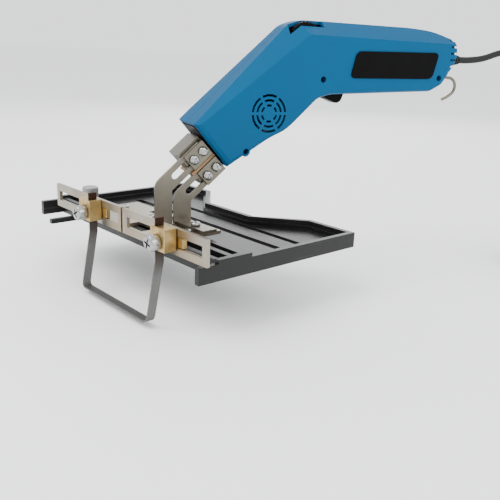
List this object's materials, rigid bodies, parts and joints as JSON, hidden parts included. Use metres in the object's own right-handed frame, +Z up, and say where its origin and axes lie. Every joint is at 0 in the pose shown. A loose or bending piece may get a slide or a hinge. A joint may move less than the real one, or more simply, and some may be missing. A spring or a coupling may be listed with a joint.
{
  "type": "hot wire cutter",
  "caption": "Hand-held heating tool on a flat plastic sled, with slotted contact bars and a clamped U-shaped hot wire for cutting grooves in foam.",
  "frame": {"origin": "on the sled's flat underside, midway across its width, between the deck and the floor slots", "axes": "+Z up from the sled's underside, +X along the contact bars, +Y from the bars to the sled's back and the tool's rear"},
  "size_m": [0.3627, 0.4534, 0.2203],
  "materials": {
    "blue_housing": "moulded shell, satin gloss",
    "black_plastic": "moulded, satin",
    "nickel_plate": "nickel-plated bar with faint heat tint",
    "brass": "machined",
    "steel": "zinc-plated, bright",
    "copper": "bare copper",
    "core_steel": "stacked laminations, lacquered",
    "hot_wire": "flat resistance strip, heat-browned",
    "grey_plastic": "moulded, fine grain",
    "insulation": "amber insulating sheet",
    "circuit_board": "laminate",
    "black_rubber": "soft, matt"
  },
  "bodies": {
    "sled": {"sled_base": "grey_plastic", "bar_left": "nickel_plate", "bar_right": "nickel_plate", "arm_upper": "nickel_plate", "arm_lower": "nickel_plate", "arm_screw_upper": "steel", "arm_screw_lower": "steel", "plate_screw_left": "steel", "plate_screw_right": "steel", "knob_stud": "steel"},
    "tool": {"terminal_upper": "nickel_plate", "terminal_lower": "nickel_plate", "terminal_plate_upper": "nickel_plate", "terminal_plate_lower": "nickel_plate", "terminal_screw_upper_1": "steel", "terminal_screw_upper_2": "steel", "terminal_screw_lower_1": "steel", "terminal_screw_lower_2": "steel", "terminal_insulator": "insulation", "housing_left": "blue_housing", "housing_right": "blue_housing", "housing_screw_1": "steel", "housing_screw_2": "steel", "housing_screw_3": "steel", "name_plate_left": "black_plastic", "name_plate_right": "black_plastic", "nose_insulator": "black_plastic", "transformer_core": "core_steel", "transformer_winding": "copper", "busbar_upper": "copper", "busbar_lower": "copper", "fan_motor": "black_plastic", "circuit_board": "circuit_board", "trigger_switch": "black_plastic", "cord_clamp": "black_plastic", "trigger_spring": "steel", "potentiometer": "steel", "hook_lug": "steel", "strain_relief": "black_rubber", "power_cord": "black_rubber", "cord_coil": "black_rubber", "plug_body": "black_rubber", "plug_pin_1": "brass", "plug_pin_2": "brass"},
    "trigger": {"trigger": "black_plastic"},
    "heat_dial": {"heat_dial": "black_plastic"},
    "fan": {"fan_rotor": "black_plastic"},
    "hook": {"hanging_hook": "steel"},
    "clamps": {"clamp_block_left": "brass", "clamp_shoe_left": "brass", "clamp_screw_left": "steel", "clamp_nut_left": "brass", "clamp_block_right": "brass", "clamp_shoe_right": "brass", "clamp_screw_right": "steel", "clamp_nut_right": "brass"},
    "wire": {"cutting_wire": "hot_wire"},
    "knob": {"locking_knob": "steel"}
  },
  "joints": [
    {"name": "tool_slide", "type": "slide", "parent": "sled", "child": "tool", "axis": [0.2197, 0.7099, 0.6691], "range_m": [-0.003, 0.004]},
    {"name": "trigger_press", "type": "slide", "parent": "tool", "child": "trigger", "axis": [0, 0, 1], "range_m": [0, 0.004], "stiffness_N_per_m": 700, "springref_m": -0.002, "deforming": ["trigger_spring"]},
    {"name": "dial_turn", "type": "hinge", "parent": "tool", "child": "heat_dial", "pos_m": [0.05527, 0.07873, 0.1635], "axis": [-0.9553, 0.2957, 0], "range_deg": [-135, 135]},
    {"name": "fan_spin", "type": "hinge", "parent": "tool", "child": "fan", "pos_m": [0.04492, 0.04529, 0.106], "axis": [-0.9553, 0.2957, 0], "continuous": true},
    {"name": "hook_swing", "type": "hinge", "parent": "tool", "child": "hook", "pos_m": [0.098, 0.21677, 0.136], "axis": [-0.9553, 0.2957, 0], "range_deg": [-40, 40]},
    {"name": "clamp_slide", "type": "slide", "parent": "sled", "child": "clamps", "axis": [1, 0, 0], "range_m": [-0.04, 0.017]},
    {"name": "wire_height", "type": "slide", "parent": "clamps", "child": "wire", "axis": [0, 0, 1], "range_m": [-0.004, 0.006]},
    {"name": "knob_turn", "type": "hinge", "parent": "sled", "child": "knob", "pos_m": [-0.097, -0.034, 0.014], "axis": [0, 0, 1], "range_deg": [-180, 180]}
  ]
}
